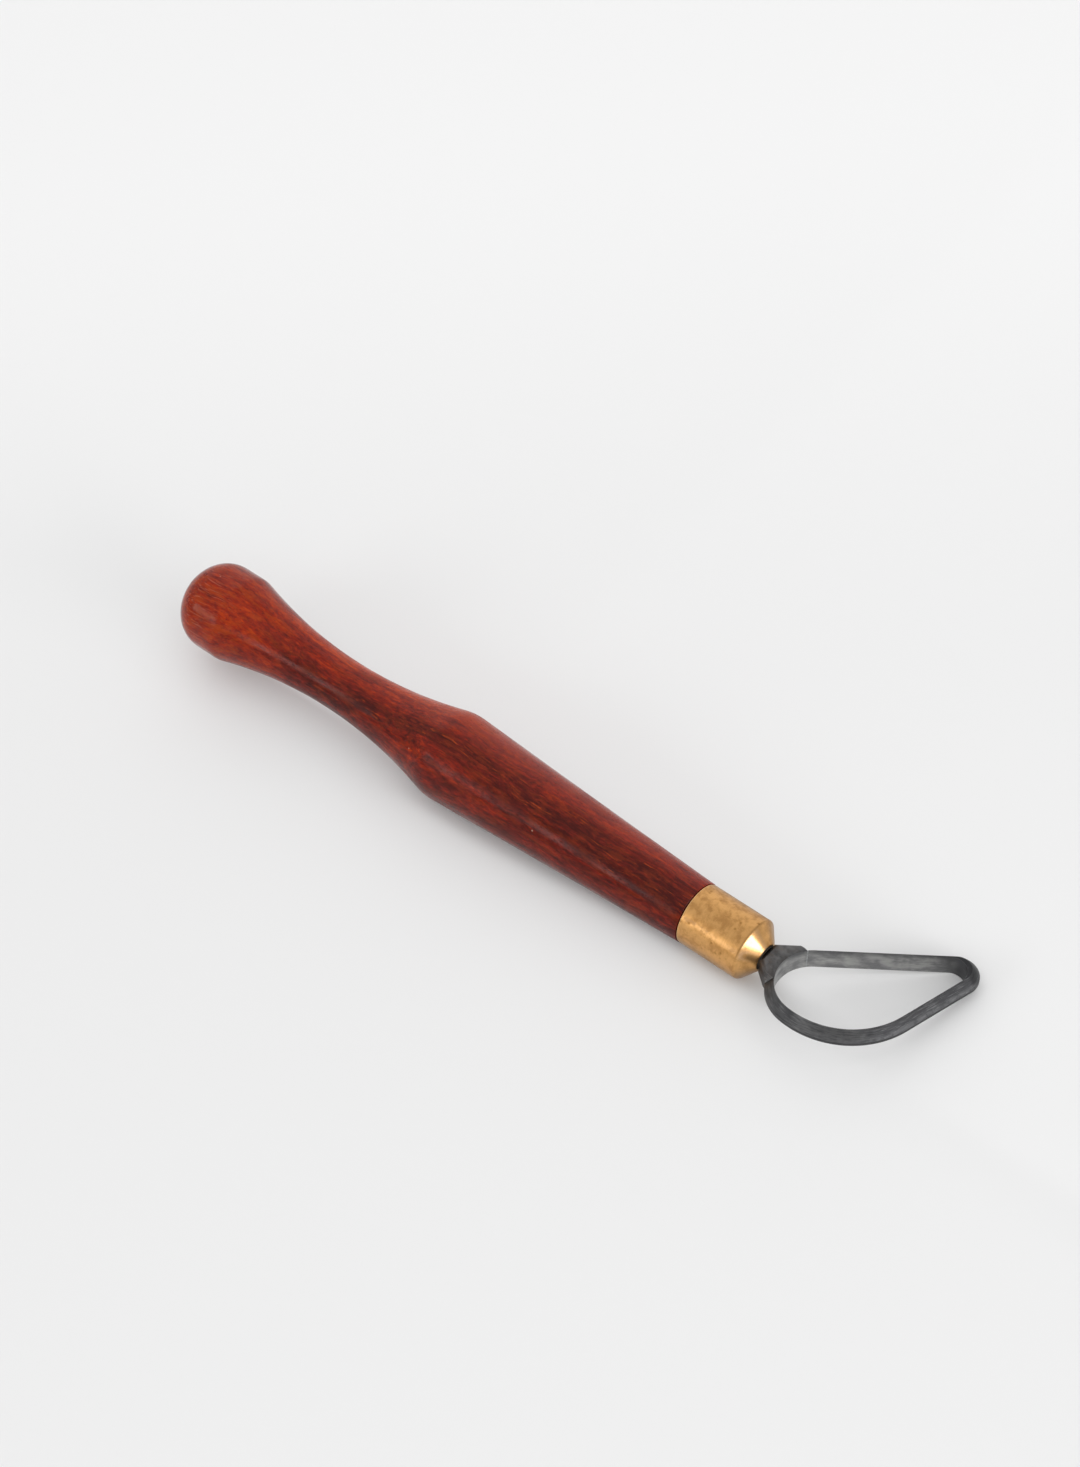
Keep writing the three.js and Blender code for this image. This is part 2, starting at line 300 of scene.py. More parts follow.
ferrule = bmesh.new()
pen = ferrule.verts.new(on_profile(floor_station, ferrule_bore))
pen = draw_lines(ferrule, pen, rear_rim)
corner_centre = on_profile(nose_corner_station - corner_reach, ferrule_radius - corner_rounding)
pen = draw_arc(ferrule, pen, corner_centre, across, cone_angle, corner_facets)
lip_start = on_profile(
    ferrule_front - nose_reach * math.cos(cone_angle), nose_lip + nose_reach * math.sin(cone_angle))
pen = draw_line(ferrule, pen, lip_start)
nose_centre = on_profile(ferrule_front - nose_rounding, nose_lip - nose_reach)
pen = draw_arc(ferrule, pen, nose_centre, across, nose_turn, nose_facets)
draw_lines(ferrule, pen, hole_and_floor)
turn_on_lathe(ferrule)
break_edges(ferrule, width=0.16 * mm, segments=4)
brass_ferrule = keep_piece(ferrule, "brass_ferrule", "ferrule")

# %% [markdown]
# ## Loop blade
#
# The blade is a flat steel band ground to two bevels that meet in a narrow ridge on the outside,
# while the inside stays flat. Seen from above it is a teardrop: a round heel, two straight sides,
# a small round tip and a wide belly. Six long edges run round it side by side. Each is drawn with
# the pen on the plan, and neighbours are bridged, as strips of card bend round a former.

# %% Plan of the loop
band_height = 6.2 * mm
band_thickness = 2.1 * mm
edge_land = 0.15 * mm
ridge_land = 1 * mm
saddle_depth = 4.8 * mm
heel_radius = 9.7 * mm
heel_side_shift = -0.6 * mm
upper_side = math.radians(90 + 37.1)
front_side = math.radians(-15)
tip_radius = 3.9 * mm
tip_outer_radius = 5.45 * mm
belly_radius = 20.35 * mm
belly_start = math.radians(-96.4)
far_seam = math.radians(138)
near_seam = math.radians(210)
seam_angle = 0.29 * mm / heel_radius


def around(centre, angle, distance):
    """Point at an angle and a distance from a centre, on the plan"""
    return centre + Vector((math.cos(angle), math.sin(angle), 0)) * distance


heel_centre = on_profile(saddle_rear + saddle_depth + heel_radius, 0) + across * heel_side_shift
belly_centre = around(heel_centre, belly_start, heel_radius - belly_radius)


def tip_centre(out, radius):
    """Centre of a tip arc that runs into both straight sides, at a distance out from the inner wall"""
    upper = Vector((math.cos(upper_side), math.sin(upper_side)))
    front = Vector((math.cos(front_side), math.sin(front_side)))
    from_upper = upper.dot(heel_centre.xy) + heel_radius + out - radius
    from_front = front.dot(belly_centre.xy) + belly_radius + out - radius
    turn = upper.cross(front)
    x = (from_upper * front.y - from_front * upper.y) / turn
    y = (from_front * upper.x - from_upper * front.x) / turn
    return Vector((x, y, axis_z))


print(f"heel centre {heel_centre.x / mm:.2f}, {heel_centre.y / mm:.2f} mm")

# %% Long edges of the blade
heel_facets = 8
tip_facets = 28
belly_facets = 40
return_facets = 24


def draw_long_edge(shape, out, corner_centre, corner_radius, height):
    """One long edge of the blade, from its far seam round the tip and belly to its near seam"""
    drawn_before = set(shape.edges)
    lift = upright * height
    start_angle = far_seam - seam_angle
    pen = shape.verts.new(around(heel_centre, start_angle, heel_radius + out) + lift)
    pen = draw_arc(shape, pen, heel_centre, upright, upper_side - start_angle, heel_facets)
    pen = draw_line(shape, pen, around(corner_centre, upper_side, corner_radius) + lift)
    pen = draw_arc(shape, pen, corner_centre, upright, front_side - upper_side, tip_facets)
    pen = draw_line(shape, pen, around(belly_centre, front_side, belly_radius + out) + lift)
    pen = draw_arc(shape, pen, belly_centre, upright, belly_start - front_side, belly_facets)
    end_angle = near_seam + seam_angle - 2 * math.pi
    draw_arc(shape, pen, heel_centre, upright, end_angle - belly_start, return_facets)
    return [edge for edge in shape.edges if edge not in drawn_before]


inner_tip = tip_centre(0, tip_radius)
outer_tip = tip_centre(band_thickness, tip_outer_radius)
land_tip_radius = tip_outer_radius - band_thickness + edge_land
half_band = band_height / 2
half_ridge = ridge_land / 2

section = (
    (0, inner_tip, tip_radius, half_band),
    (edge_land, outer_tip, land_tip_radius, half_band),
    (band_thickness, outer_tip, tip_outer_radius, half_ridge),
    (band_thickness, outer_tip, tip_outer_radius, -half_ridge),
    (edge_land, outer_tip, land_tip_radius, -half_band),
    (0, inner_tip, tip_radius, -half_band),
)

blade = bmesh.new()
long_edges = [draw_long_edge(blade, *corner) for corner in section]
print(f"{len(long_edges)} long edges of {len(long_edges[0])} steps each")

# %% [markdown]
# The loop's outside kept its dark skin, while the wall that looks into the opening was ground bright.
# A face belongs to that wall if it stands upright and faces the middle of the opening. It is marked
# with an attribute of its own, which the steel's finish reads later.

# %% Bridge the blade's strips and close its ends
upright_within = 0.1


def mark_inside(shape):
    """Mark the upright faces that look into the loop's opening"""
    shape.normal_update()
    inside = shape.faces.layers.float.new("inside_wall")
    for face in shape.faces:
        to_middle = heel_centre - face.calc_center_median()
        face[inside] = float(abs(face.normal.z) < upright_within and face.normal.dot(to_middle) > 0)


for first, second in zip(long_edges, long_edges[1:] + long_edges[:1]):
    bmesh.ops.bridge_loops(blade, edges=first + second)
open_edges = [edge for edge in blade.edges if edge.is_boundary]
bmesh.ops.holes_fill(blade, edges=open_edges, sides=len(long_edges))
close_up(blade)
break_edges(blade, width=0.05 * mm, segments=2)
mark_inside(blade)
trimming_blade = keep_piece(blade, "trimming_blade", "loop_blade")

# %% [markdown]
# ## Saddle
#
# The saddle is the part of the loop that was left unground, where the band is thick enough to be
# brazed to the shank. Its shape in the CAD is right, with its flare and its slanting run-outs,
# and only its edges are too crisp. A copy of the CAD mesh is merged, its flat faces are joined,
# and its edges are then broken as on the other pieces.

# %% Saddle
flat_within = math.radians(1)

saddle = bmesh.new()
saddle.from_mesh(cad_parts["saddle"].data)
bmesh.ops.remove_doubles(saddle, verts=saddle.verts[:], dist=merge_distance)
bmesh.ops.dissolve_limit(saddle, angle_limit=flat_within, verts=saddle.verts[:], edges=saddle.edges[:])
break_edges(saddle, width=0.12 * mm, segments=3)
mark_inside(saddle)
flared_saddle = keep_piece(saddle, "flared_saddle", "saddle")

# %% [markdown]
# ## Writing finishes as recipes
#
# A finish is a recipe of shader nodes. Small helpers keep the recipes readable: they add a step and
# feed it, do sums, ease a value over a new range, lay a stain on a colour, and take a place apart or
# stretch it. Colours are written as they look on a screen and turned into the linear numbers that
# Blender uses.

# %% Recipe helpers
def feed(step, socket, value):
    """Give a socket of a step a fixed value, or lead another step's result into it"""
    if isinstance(value, bpy.types.NodeSocket):
        step.id_data.links.new(value, step.inputs[socket])
    else:
        step.inputs[socket].default_value = value


def add_step(recipe, kind, feeds=None, **settings):
    """A shader node with its settings and what it is fed"""
    step = recipe.nodes.new("ShaderNode" + kind)
    for setting, value in settings.items():
        setattr(step, setting, value)
    for socket, value in (feeds or {}).items():
        feed(step, socket, value)
    return step


def sums(recipe, operation, first, second=0.0):
    """Arithmetic on two values"""
    return add_step(recipe, "Math", {0: first, 1: second}, operation=operation).outputs[0]


def times(recipe, first, second):
    """One value times another"""
    return sums(recipe, "MULTIPLY", first, second)


def spread(recipe, value, low, high, to_low=0.0, to_high=1.0):
    """A value eased from one range to another"""
    feeds = {0: value, 1: low, 2: high, 3: to_low, 4: to_high}
    return add_step(recipe, "MapRange", feeds, interpolation_type="SMOOTHSTEP").outputs[0]


def stain(recipe, amount, under, over):
    """One colour laid over another"""
    return add_step(recipe, "Mix", {0: amount, 6: under, 7: over}, data_type="RGBA").outputs[2]


def paint(red, green, blue):
    """Linear colour from screen values of 0 to 255"""
    linear = []
    for value in (red, green, blue):
        share = value / 255
        linear.append(share / 12.92 if share <= 0.04045 else ((share + 0.055) / 1.055) ** 2.4)
    return (*linear, 1.0)


def parts_of(recipe, place):
    """The station, the far side and the height of a place"""
    return add_step(recipe, "SeparateXYZ", {0: place}).outputs


def stretch(recipe, place, rates):
    """A place stretched by a rate along each direction"""
    return add_step(recipe, "VectorMath", {0: place, 1: rates}, operation="MULTIPLY").outputs[0]


def noise(recipe, place, rates, detail=2.0, roughness=0.5):
    """Cloudy values that vary so many times a millimetre along each direction"""
    stretched = stretch(recipe, place, rates)
    feeds = {"Vector": stretched, "Scale": 1.0, "Detail": detail, "Roughness": roughness}
    return add_step(recipe, "TexNoise", feeds).outputs


print("mid red as linear numbers:", [round(v, 3) for v in paint(125, 50, 38)])

# %% [markdown]
# ## A new finish, and where it is on the tool
#
# Patterns read Object coordinates, so they stay fixed to the piece. A Mapping node moves their
# origin to the knob's end on the axis and makes one unit a millimetre. Along a turned piece X is then
# the station, Y is the far side and Z is up.

# %% Start of a finish
def start_finish(name, roughness, metallic=0.0):
    """A material with its shader, and the place on the tool in millimetres"""
    finish = bpy.data.materials.new(name)
    finish.use_nodes = True
    recipe = finish.node_tree
    shader = recipe.nodes["Principled BSDF"]
    feed(shader, "Roughness", roughness)
    feed(shader, "Metallic", metallic)
    coordinates = add_step(recipe, "TexCoord").outputs["Object"]
    shift = tuple(-value / mm for value in on_profile(0, 0))
    feeds = {"Vector": coordinates, "Location": shift, "Scale": (1 / mm, 1 / mm, 1 / mm)}
    place = add_step(recipe, "Mapping", feeds).outputs[0]
    return finish, recipe, shader, place


def start_group(name, takes, gives):
    """A shared node group with its named inputs and outputs"""
    group = bpy.data.node_groups.new(name, "ShaderNodeTree")
    for label, kind, value in takes:
        socket = group.interface.new_socket(label, in_out="INPUT", socket_type="NodeSocket" + kind)
        if value is not None:
            socket.default_value = value
    for label, kind in gives:
        group.interface.new_socket(label, in_out="OUTPUT", socket_type="NodeSocket" + kind)
    source = group.nodes.new("NodeGroupInput").outputs
    result = group.nodes.new("NodeGroupOutput").inputs
    return group, source, result


def use_group(recipe, group, **feeds):
    """A shared group placed in a finish, with its own values"""
    named = {label.replace("_", " "): value for label, value in feeds.items()}
    return add_step(recipe, "Group", named, node_tree=group).outputs


print("pattern origin:", [round(v / mm, 2) for v in on_profile(0, 0)])

# %% [markdown]
# ## Tool marks and tarnish, shared by the metals
#
# Every metal here carries the marks of the tool that shaped it: turning lines round the ferrule,
# grinding lines along the blade, drawing lines along the shank. They are one effect, a noise
# stretched into lines, so they are one group with its own rates in each finish.
# Tarnish is the second shared effect: soft patches where the metal has dulled and changed colour.

# %% Shared group: tool marks
tool_marks, source, result = start_group(
    "tool_marks",
    [("Place", "Vector", None), ("Rates", "Vector", (1.0, 1.0, 1.0)), ("Depth", "Float", 1.0)],
    [("Marks", "Float")],
)
broad = noise(tool_marks, source["Place"], (1.0, 1.0, 1.0), 1.0)[0]
lines = noise(tool_marks, source["Place"], source["Rates"], 3.0, 0.6)[0]
uneven = spread(tool_marks, broad, 0.35, 0.65, 0.55, 1.0)
centred = sums(tool_marks, "SUBTRACT", lines, 0.5)
strong = times(tool_marks, centred, times(tool_marks, uneven, source["Depth"]))
tool_marks.links.new(sums(tool_marks, "ADD", strong, 0.5), result["Marks"])
print("tool_marks has", len(tool_marks.nodes), "nodes")

# %% Shared group: tarnish
tarnish, source, result = start_group(
    "tarnish",
    [
        ("Place", "Vector", None),
        ("Patches per mm", "Float", 0.3),
        ("Bare", "Color", (0.8, 0.8, 0.8, 1.0)),
        ("Dulled", "Color", (0.4, 0.4, 0.4, 1.0)),
        ("Amount", "Float", 0.5),
    ],
    [("Colour", "Color"), ("Patches", "Float")],
)
feeds = {"Vector": source["Place"], "Scale": source["Patches per mm"]}
feeds.update({"Detail": 5.0, "Roughness": 0.62, "Distortion": 0.25})
clouds = add_step(tarnish, "TexNoise", feeds)
patches = spread(tarnish, clouds.outputs[0], 0.38, 0.68)
tarnish.links.new(patches, result["Patches"])
dulling = times(tarnish, patches, source["Amount"])
tarnish.links.new(stain(tarnish, dulling, source["Bare"], source["Dulled"]), result["Colour"])
print("tarnish has", len(tarnish.nodes), "nodes")

# %% [markdown]
# ## Oiled hardwood
#
# The handle is a dense red-brown hardwood with an oiled, satin surface. Wood is layered, so its figure
# is made in three dimensions: the place is warped a little, as a tree grows, and then read by noises
# that change fast across the layers and slowly along them. Where the turner cut through a layer it
# shows as a streak that follows the handle's curves, on the front and on the back alike.

# %% Wood: grown place and layers
wood, recipe, shader, place = start_finish("oiled_red_hardwood", 0.42)


def grown(recipe, place, rates, reach):
    """A place pushed about by a soft noise, across the grain only"""
    push = noise(recipe, place, rates, 1.0)["Color"]
    centred = add_step(recipe, "VectorMath", {0: push, 1: (0.5, 0.5, 0.5)}, operation="SUBTRACT")
    feeds = {0: centred.outputs[0], 1: (0.0, reach, reach), 2: place}
    return add_step(recipe, "VectorMath", feeds, operation="MULTIPLY_ADD").outputs[0]


slow_bend = grown(recipe, place, (0.024, 0.05, 0.05), reach=6.0)
fibre = grown(recipe, slow_bend, (0.11, 0.26, 0.26), reach=1.6)
fibre = grown(recipe, fibre, (0.35, 0.9, 0.9), reach=0.5)
across_layers = parts_of(recipe, fibre)[1]
station = parts_of(recipe, place)[0]

layers = noise(recipe, fibre, (0.012, 0.26, 0.05), 2.0)[0]
fine_layers = noise(recipe, fibre, (0.06, 1.6, 0.7), 4.0, 0.64)[0]
threads = noise(recipe, fibre, (0.4, 3.6, 3.6), 3.0, 0.65)[0]
mottle = noise(recipe, fibre, (0.45, 1.1, 1.1), 3.0, 0.6)[0]
clouds = noise(recipe, slow_bend, (0.09, 0.3, 0.3), 3.0, 0.6)[0]
print("wood layers lie across Y, in millimetres")

# %% [markdown]
# The broadest feature is one dark heart layer. It is thin at the waist and wide along the taper,
# so its half width and its distance from the axis are eased along the stations. Behind it the wood
# grows steadily lighter towards the far side, partly paler wood and partly painted light from above
# that side, and the whole knob is warmer and more orange.
# Each pair of numbers below is where such a change begins and where it is complete.

# %% Wood: dark heart and warm wood
heart_begins = (18.0, 42.0)
heart_deepens = (70.0, 140.0)
heart_widens = (72.0, 140.0)
heart_edge = (1.25, 0.55)
knob_part = (52.0, 20.0)
cove_part = (20.0, 60.0)
ridge_part = (80.0, 115.0)
taper_part = (86.0, 102.0)
far_part = (-5.0, 8.0)
calm_part = (1.0, 5.0)
middle_shade = 0.31

layer_depth = spread(recipe, station, *heart_deepens, 5.2, 3.6)
layer_half = spread(recipe, station, *heart_widens, 1.6, 4.4)
from_layer = sums(recipe, "ABSOLUTE", sums(recipe, "ADD", across_layers, layer_depth))
heart = spread(recipe, sums(recipe, "DIVIDE", from_layer, layer_half), *heart_edge)
heart = times(recipe, heart, spread(recipe, station, *heart_begins))
knob_warmth = spread(recipe, station, *knob_part)
far_side = spread(recipe, across_layers, *far_part)
# Lighter towards the far side: partly paler wood, partly painted light.
far_pale_and_lit = times(recipe, far_side, spread(recipe, station, *cove_part))
far_pale_and_lit = times(recipe, far_pale_and_lit, spread(recipe, station, *ridge_part, 1.0, 0.66))
taper_shade = spread(recipe, station, *taper_part, 0.0, 0.07)
warm_and_lit_parts = sums(recipe, "MAXIMUM", knob_warmth, far_pale_and_lit)


def weigh(recipe, total, value, weight):
    """Add a value's swing about its middle to a running total"""
    swing = times(recipe, sums(recipe, "SUBTRACT", value, 0.5), weight)
    return sums(recipe, "ADD", total, swing)


calm = sums(recipe, "MAXIMUM", knob_warmth, spread(recipe, across_layers, *calm_part))
figure = weigh(recipe, middle_shade, layers, 0.6)
figure = weigh(recipe, figure, clouds, 0.55)
figure = weigh(recipe, figure, fine_layers, spread(recipe, calm, 0.0, 1.0, 1.2, 0.5))
figure = weigh(recipe, figure, threads, spread(recipe, calm, 0.0, 1.0, 0.8, 0.45))
figure = weigh(recipe, figure, mottle, 0.65)
figure = sums(recipe, "SUBTRACT", figure, times(recipe, heart, 0.18))
figure = sums(recipe, "ADD", figure, times(recipe, knob_warmth, 0.24))
figure = sums(recipe, "ADD", figure, times(recipe, far_pale_and_lit, 0.58))
figure = sums(recipe, "SUBTRACT", figure, taper_shade)
print("the figure runs from heart to knob")

# %% [markdown]
# All those shades lie on one scale, from a near-black brown to amber. A colour ramp holds that scale,
# and the figure picks from it. The far side of the taper has a rosy painted sheen, orange patches lie
# in the warm wood, and thin amber flames run through the heart and the knob.

# %% Wood: colours
wood_scale = add_step(recipe, "ValToRGB", {0: figure})
shades = wood_scale.color_ramp.elements
shades[0].color = paint(64, 14, 9)
shades[1].color = paint(192, 68, 16)
for position, shade in (
    (0.2, paint(83, 20, 12)),
    (0.4, paint(107, 27, 17)),
    (0.6, paint(136, 36, 15)),
):
    shades.new(position).color = shade
colour = wood_scale.outputs[0]
orange = paint(150, 58, 18)
painted_rose_sheen = paint(132, 56, 48)
amber = paint(176, 70, 22)
rose_sheen_part = (70.0, 105.0)

# A rosy painted sheen over the far side of the taper.
painted_sheen_amount = times(recipe, far_side, spread(recipe, station, *rose_sheen_part, 0.0, 0.5))
colour = stain(recipe, painted_sheen_amount, colour, painted_rose_sheen)
hue = noise(recipe, fibre, (0.16, 0.6, 0.6), 4.0, 0.7)[0]
hue_amount = spread(recipe, hue, 0.46, 0.62, 0.0, 0.6)
hue_amount = times(recipe, hue_amount, sums(recipe, "MAXIMUM", warm_and_lit_parts, 0.35))
colour = stain(recipe, hue_amount, colour, orange)

flame = noise(recipe, fibre, (0.08, 2.2, 1.4), 3.0, 0.6)[0]
flame_mask = spread(recipe, flame, 0.59, 0.72)
flame_room = sums(recipe, "MAXIMUM", heart, times(recipe, warm_and_lit_parts, 0.6))
flame_amount = times(recipe, flame_mask, times(recipe, flame_room, 0.6))
colour = stain(recipe, flame_amount, colour, amber)
print("wood recipe has", len(recipe.nodes), "nodes")

# %% [markdown]
# Short dark pores lie along the fibres, and a few pale specks of dust and filler are left. Both are
# round marks in some cells of a pattern: a mark's size comes from the distance to its cell's middle,
# and whether it is there at all from the cell's random colour. The knob's face cuts across the
# vessels, which show there as fine pale lines.

# %% Wood: pores, vessels and specks
def scattered_marks(recipe, place, scale, core, chance, channel):
    """Round marks in some cells of a pattern, by the range of their core and of their chance"""
    pattern = add_step(recipe, "TexVoronoi", {"Vector": place, "Scale": scale}).outputs
    marks = spread(recipe, pattern["Distance"], *core)
    pick = add_step(recipe, "SeparateColor", {0: pattern["Color"]}).outputs[channel]
    return times(recipe, marks, spread(recipe, pick, *chance))


pore_brown = paint(56, 15, 10)
vessel_pink = paint(188, 104, 80)
dust = paint(190, 150, 130)
knob_end_part = (24.0, 8.0)

pore_place = stretch(recipe, fibre, (0.45, 3.2, 3.2))
pores = scattered_marks(recipe, pore_place, 1.0, core=(0.30, 0.12), chance=(0.45, 0.65), channel=0)
colour = stain(recipe, times(recipe, pores, 0.75), colour, pore_brown)

vessels = noise(recipe, fibre, (0.07, 3.4, 3.4), 1.0)[0]
knob_face = spread(recipe, station, *knob_end_part)
vessel_lines = times(recipe, spread(recipe, vessels, 0.58, 0.66, 0.0, 0.4), knob_face)
colour = stain(recipe, vessel_lines, colour, vessel_pink)

specks = scattered_marks(recipe, place, 0.23, core=(0.065, 0.04), chance=(0.78, 0.82), channel=1)
colour = stain(recipe, times(recipe, specks, 0.6), colour, dust)
print("with pores and specks it has", len(recipe.nodes), "nodes")

# %% [markdown]
# Oil leaves a satin sheen, with smears where hands have wiped it. The knob is a little glossier, and
# the pores are dull. Threads and pores give a fine bump, and the sanding left slow waves under it.

# %% Wood: sheen and surface
smears = noise(recipe, place, (0.09, 0.3, 0.3), 4.0, 0.6)[0]
feed(shader, "Specular IOR Level", 0.15)
feed(shader, "Base Color", colour)
satin = spread(recipe, smears, 0.38, 0.62, 0.36, 0.15)
satin = sums(recipe, "SUBTRACT", satin, times(recipe, knob_warmth, 0.09))
satin = sums(recipe, "ADD", satin, times(recipe, pores, 0.25))
feed(shader, "Roughness", satin)
raised = sums(recipe, "SUBTRACT", times(recipe, threads, 0.5), pores)
raised = sums(recipe, "ADD", raised, times(recipe, smears, 0.8))
bump = add_step(recipe, "Bump", {"Strength": 0.35, "Distance": 0.05 * mm, "Height": raised})
sanded = noise(recipe, place, (0.06, 0.26, 0.26), 2.0)[0]
wavy = add_step(
    recipe, "Bump", {"Strength": 0.25, "Distance": 0.3 * mm, "Height": sanded, "Normal": bump.outputs[0]})
feed(shader, "Normal", wavy.outputs[0])
turned_handle.data.materials.append(wood)
print("the handle is oiled")

# %% [markdown]
# ## Satin brass
#
# The ferrule was turned and polished once, and hands have dulled it since. Metal has no colour of its
# own beyond what it mirrors, so the shader is fully metallic, the tarnish group mixes golden and olive
# brown, and the roughness follows the same patches. The turning lines run round the axis, so their
# noise changes quickly along X and hardly at all around. The brass stays golden on the side that faces
# up and towards the near side, and turns darker and more olive away from it, so the finish asks how far
# the surface leans to that side.
# Small brown spots are scattered over it.

# %% Brass: colour
def lean(recipe, direction, towards):
    """How far a direction leans towards another"""
    feeds = {0: direction, 1: towards}
    return add_step(recipe, "VectorMath", feeds, operation="DOT_PRODUCT").outputs["Value"]


def marked(recipe, name):
    """Where the faces carry a mark"""
    return add_step(recipe, "Attribute", attribute_name=name).outputs["Fac"]


line_brown = paint(184, 134, 74)
edge_gold = paint(245, 204, 150)
olive = paint(142, 108, 64)
spot_brown = paint(128, 84, 40)
upper_near_side = (0.0, -0.5, 0.87)

brass, recipe, shader, place = start_finish("satin_brass", 0.26, 1.0)
dulled = use_group(
    recipe, tarnish, Place=place, Patches_per_mm=0.45,
    Bare=paint(222, 169, 104), Dulled=paint(172, 124, 68), Amount=0.68)
turning = use_group(recipe, tool_marks, Place=place, Rates=(7.0, 0.12, 0.12), Depth=0.8)["Marks"]
worn = marked(recipe, "worn_edge")
line_tone = spread(recipe, turning, 0.3, 0.7, 0.35, 0.0)
colour = stain(recipe, line_tone, dulled["Colour"], line_brown)
colour = stain(recipe, times(recipe, worn, 0.5), colour, edge_gold)
off_axis = stretch(recipe, place, (0.0, 1.0, 1.0))
outwards = add_step(recipe, "VectorMath", {0: off_axis}, operation="NORMALIZE").outputs[0]
upper_near_lean = lean(recipe, outwards, upper_near_side)
# Golden towards the upper near side, darker and more olive away from it.
away_from_upper_near = spread(recipe, upper_near_lean, 0.62, 0.12, 0.0, 0.6)
colour = stain(recipe, away_from_upper_near, colour, olive)
spots = scattered_marks(recipe, place, 0.55, core=(0.3, 0.05), chance=(0.5, 0.65, 0.0, 0.55), channel=0)
colour = stain(recipe, spots, colour, spot_brown)
feed(shader, "Base Color", colour)
print("brass recipe has", len(recipe.nodes), "nodes")

# %% [markdown]
# The tarnished patches are also duller, and the cone is better polished. Most of the old lacquer is
# gone: it is left on the upper near side of the cone, where it gives the brass a second, sharper gloss.
# The shader's coat is that lacquer, and the brown spots have eaten through it.

# %% Brass: sheen
cone_begins = (185.0, 185.8)

cone = spread(recipe, parts_of(recipe, place)[0], *cone_begins)
dull_sheen = spread(recipe, dulled["Patches"], 0.0, 1.0, 0.4, 0.52)
polish = times(recipe, cone, 0.12)
feed(shader, "Roughness", sums(recipe, "SUBTRACT", dull_sheen, polish))
kept_lacquer = times(recipe, cone, spread(recipe, upper_near_lean, 0.74, 0.93))
lacquer = spread(recipe, kept_lacquer, 0.0, 1.0, 0.1, 0.9)
feed(shader, "Coat Weight", sums(recipe, "SUBTRACT", lacquer, spots))
feed(shader, "Coat IOR", 1.9)
feed(shader, "Coat Roughness", 0.13)
bump = add_step(recipe, "Bump", {"Strength": 0.12, "Distance": 0.01 * mm, "Height": turning})
feed(shader, "Normal", bump.outputs[0])
brass_ferrule.data.materials.append(brass)
print("the ferrule is brass")

# %% [markdown]
# ## Ground steel, darkened by heat
#
# The loop and its saddle are carbon steel. Brazing heat left them dark grey, with a brownish tint near
# the seams. Such a finish is built up as a smith sees it: the bare tone first, then everything that
# came over it. How level a face is tells the flat top from the bevels and the upright ridge.

# %% Loop steel: tones, heat and grinding
level_grey = paint(84, 84, 86)
heat_brown = paint(112, 98, 86)
scorch_brown = paint(64, 57, 50)
scale_grey = paint(56, 56, 58)
upright_grey = paint(72, 72, 74)
painted_sheen_grey = paint(124, 124, 126)
line_grey = paint(118, 118, 118)
heat_fades = (199.0, 188.0)
scorch_fades = (200.0, 196.0)
scorch_side = (-3.8, -5.6)

steel, recipe, shader, place = start_finish("heat_darkened_steel", 0.5, 1.0)
skin = use_group(
    recipe, tarnish, Place=place, Patches_per_mm=0.6,
    Bare=paint(122, 122, 122), Dulled=paint(98, 98, 99), Amount=0.6)
facing = add_step(recipe, "NewGeometry").outputs["Normal"]
tilt = parts_of(recipe, facing)[2]
level = spread(recipe, sums(recipe, "ABSOLUTE", tilt), 0.25, 0.9)
grinding = use_group(recipe, tool_marks, Place=place, Rates=(0.35, 0.35, 6.0), Depth=1.0)["Marks"]
station, far, height = parts_of(recipe, place)
heat = spread(recipe, station, *heat_fades, 0.0, 0.45)
heat = times(recipe, heat, spread(recipe, skin["Patches"], 0.2, 0.8, 0.3, 1.0))
colour = stain(recipe, times(recipe, level, 0.4), skin["Colour"], level_grey)
colour = stain(recipe, heat, colour, heat_brown)
scorch = spread(recipe, station, *scorch_fades)
scorch = times(recipe, scorch, spread(recipe, far, *scorch_side, 0.0, 0.3))
colour = stain(recipe, scorch, colour, scorch_brown)
colour = stain(recipe, spread(recipe, grinding, 0.62, 0.3, 0.0, 0.6), colour, scale_grey)
print("steel recipe has", len(recipe.nodes), "nodes so far")

# %% [markdown]
# The upright ridge is darker than the bevels. The upper bevel kept its scale round the heel and
# towards the tip. In between, near the ridge, it is painted paler as a painted sheen, stronger towards
# the front.

# %% Loop steel: scale and painted sheen on the bevel
heel_middle = 202.5
heel_scale = (5.0, 1.5)
front_scale = (216.5, 223.5)
upper_bevel = (0.2, 0.45)
ridge_band = (1.7, 0.8)
bevel_sheen_part = (204.0, 217.0)

upright_face = spread(recipe, sums(recipe, "ABSOLUTE", tilt), 0.3, 0.15, 0.0, 0.85)
colour = stain(recipe, upright_face, colour, upright_grey)
from_heel = sums(recipe, "ABSOLUTE", sums(recipe, "SUBTRACT", station, heel_middle))
heel_skin = spread(recipe, from_heel, *heel_scale, 0.0, 0.6)
front_skin = spread(recipe, station, *front_scale, 0.0, 0.85)
scale_skin = sums(recipe, "MAXIMUM", heel_skin, front_skin)
on_bevel = times(recipe, scale_skin, spread(recipe, tilt, *upper_bevel))
colour = stain(recipe, on_bevel, colour, scale_grey)
